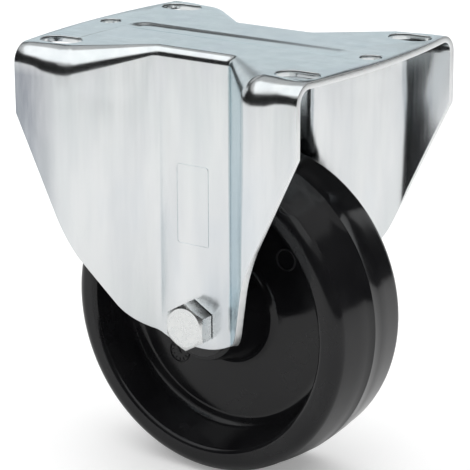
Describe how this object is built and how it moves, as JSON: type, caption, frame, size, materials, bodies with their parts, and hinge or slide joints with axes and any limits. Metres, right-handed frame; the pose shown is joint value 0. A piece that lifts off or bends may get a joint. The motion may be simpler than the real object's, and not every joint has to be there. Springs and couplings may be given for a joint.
{
  "type": "fixed castor",
  "caption": "Fixed plate castor: folded steel housing with channelled legs and slotted top plate, carrying a dished hard wheel on a roller bearing and axle bolt.",
  "frame": {"origin": "centre of the slot pattern on the top plate's upper face", "axes": "+Z out of the top plate, away from the wheel; X the rolling direction; Y along the axle, with the bolt's head on -Y"},
  "size_m": [0.106, 0.085, 0.133],
  "materials": {
    "zinc_sheet": "bright zinc plate with fine drawing lines",
    "zinc_hardware": "bright zinc plate",
    "wheel_plastic": "moulded, semi-gloss",
    "bearing_steel": "ground steel",
    "washer_plastic": "black polyamide, matt",
    "cage_steel": "passivated sheet steel"
  },
  "bodies": {
    "bracket": {"housing": "zinc_sheet", "axle_bolt": "zinc_hardware", "axle_nut": "zinc_hardware", "axle_tube": "bearing_steel", "washer_near": "washer_plastic", "washer_far": "washer_plastic"},
    "wheel": {"wheel": "wheel_plastic"},
    "cage": {"roller_cage": "cage_steel"},
    "roller_01": {"roller_01": "bearing_steel"},
    "roller_02": {"roller_02": "bearing_steel"},
    "roller_03": {"roller_03": "bearing_steel"},
    "roller_04": {"roller_04": "bearing_steel"},
    "roller_05": {"roller_05": "bearing_steel"},
    "roller_06": {"roller_06": "bearing_steel"},
    "roller_07": {"roller_07": "bearing_steel"},
    "roller_08": {"roller_08": "bearing_steel"},
    "roller_09": {"roller_09": "bearing_steel"},
    "roller_10": {"roller_10": "bearing_steel"},
    "roller_11": {"roller_11": "bearing_steel"},
    "roller_12": {"roller_12": "bearing_steel"}
  },
  "joints": [
    {"name": "wheel_spin", "type": "hinge", "parent": "bracket", "child": "wheel", "pos_m": [0, 0, -0.083], "axis": [0, 1, 0], "continuous": true},
    {"name": "cage_spin", "type": "hinge", "parent": "bracket", "child": "cage", "pos_m": [0, 0, -0.083], "axis": [0, 1, 0], "continuous": true},
    {"name": "roller_01_spin", "type": "hinge", "parent": "cage", "child": "roller_01", "pos_m": [0.00652, 0, -0.08676], "axis": [0, 1, 0], "continuous": true},
    {"name": "roller_02_spin", "type": "hinge", "parent": "cage", "child": "roller_02", "pos_m": [0.00377, 0, -0.08952], "axis": [0, 1, 0], "continuous": true},
    {"name": "roller_03_spin", "type": "hinge", "parent": "cage", "child": "roller_03", "pos_m": [0, 0, -0.09053], "axis": [0, 1, 0], "continuous": true},
    {"name": "roller_04_spin", "type": "hinge", "parent": "cage", "child": "roller_04", "pos_m": [-0.00377, 0, -0.08952], "axis": [0, 1, 0], "continuous": true},
    {"name": "roller_05_spin", "type": "hinge", "parent": "cage", "child": "roller_05", "pos_m": [-0.00652, 0, -0.08676], "axis": [0, 1, 0], "continuous": true},
    {"name": "roller_06_spin", "type": "hinge", "parent": "cage", "child": "roller_06", "pos_m": [-0.00753, 0, -0.083], "axis": [0, 1, 0], "continuous": true},
    {"name": "roller_07_spin", "type": "hinge", "parent": "cage", "child": "roller_07", "pos_m": [-0.00652, 0, -0.07923], "axis": [0, 1, 0], "continuous": true},
    {"name": "roller_08_spin", "type": "hinge", "parent": "cage", "child": "roller_08", "pos_m": [-0.00377, 0, -0.07648], "axis": [0, 1, 0], "continuous": true},
    {"name": "roller_09_spin", "type": "hinge", "parent": "cage", "child": "roller_09", "pos_m": [0, 0, -0.07547], "axis": [0, 1, 0], "continuous": true},
    {"name": "roller_10_spin", "type": "hinge", "parent": "cage", "child": "roller_10", "pos_m": [0.00377, 0, -0.07648], "axis": [0, 1, 0], "continuous": true},
    {"name": "roller_11_spin", "type": "hinge", "parent": "cage", "child": "roller_11", "pos_m": [0.00652, 0, -0.07923], "axis": [0, 1, 0], "continuous": true},
    {"name": "roller_12_spin", "type": "hinge", "parent": "cage", "child": "roller_12", "pos_m": [0.00753, 0, -0.083], "axis": [0, 1, 0], "continuous": true}
  ],
  "couplings": [
    {"joint": "cage_spin", "follows": "wheel_spin", "ratio": 0.6016},
    {"joint": "roller_01_spin", "follows": "wheel_spin", "ratio": 2.4184},
    {"joint": "roller_02_spin", "follows": "wheel_spin", "ratio": 2.4184},
    {"joint": "roller_03_spin", "follows": "wheel_spin", "ratio": 2.4184},
    {"joint": "roller_04_spin", "follows": "wheel_spin", "ratio": 2.4184},
    {"joint": "roller_05_spin", "follows": "wheel_spin", "ratio": 2.4184},
    {"joint": "roller_06_spin", "follows": "wheel_spin", "ratio": 2.4184},
    {"joint": "roller_07_spin", "follows": "wheel_spin", "ratio": 2.4184},
    {"joint": "roller_08_spin", "follows": "wheel_spin", "ratio": 2.4184},
    {"joint": "roller_09_spin", "follows": "wheel_spin", "ratio": 2.4184},
    {"joint": "roller_10_spin", "follows": "wheel_spin", "ratio": 2.4184},
    {"joint": "roller_11_spin", "follows": "wheel_spin", "ratio": 2.4184},
    {"joint": "roller_12_spin", "follows": "wheel_spin", "ratio": 2.4184}
  ]
}
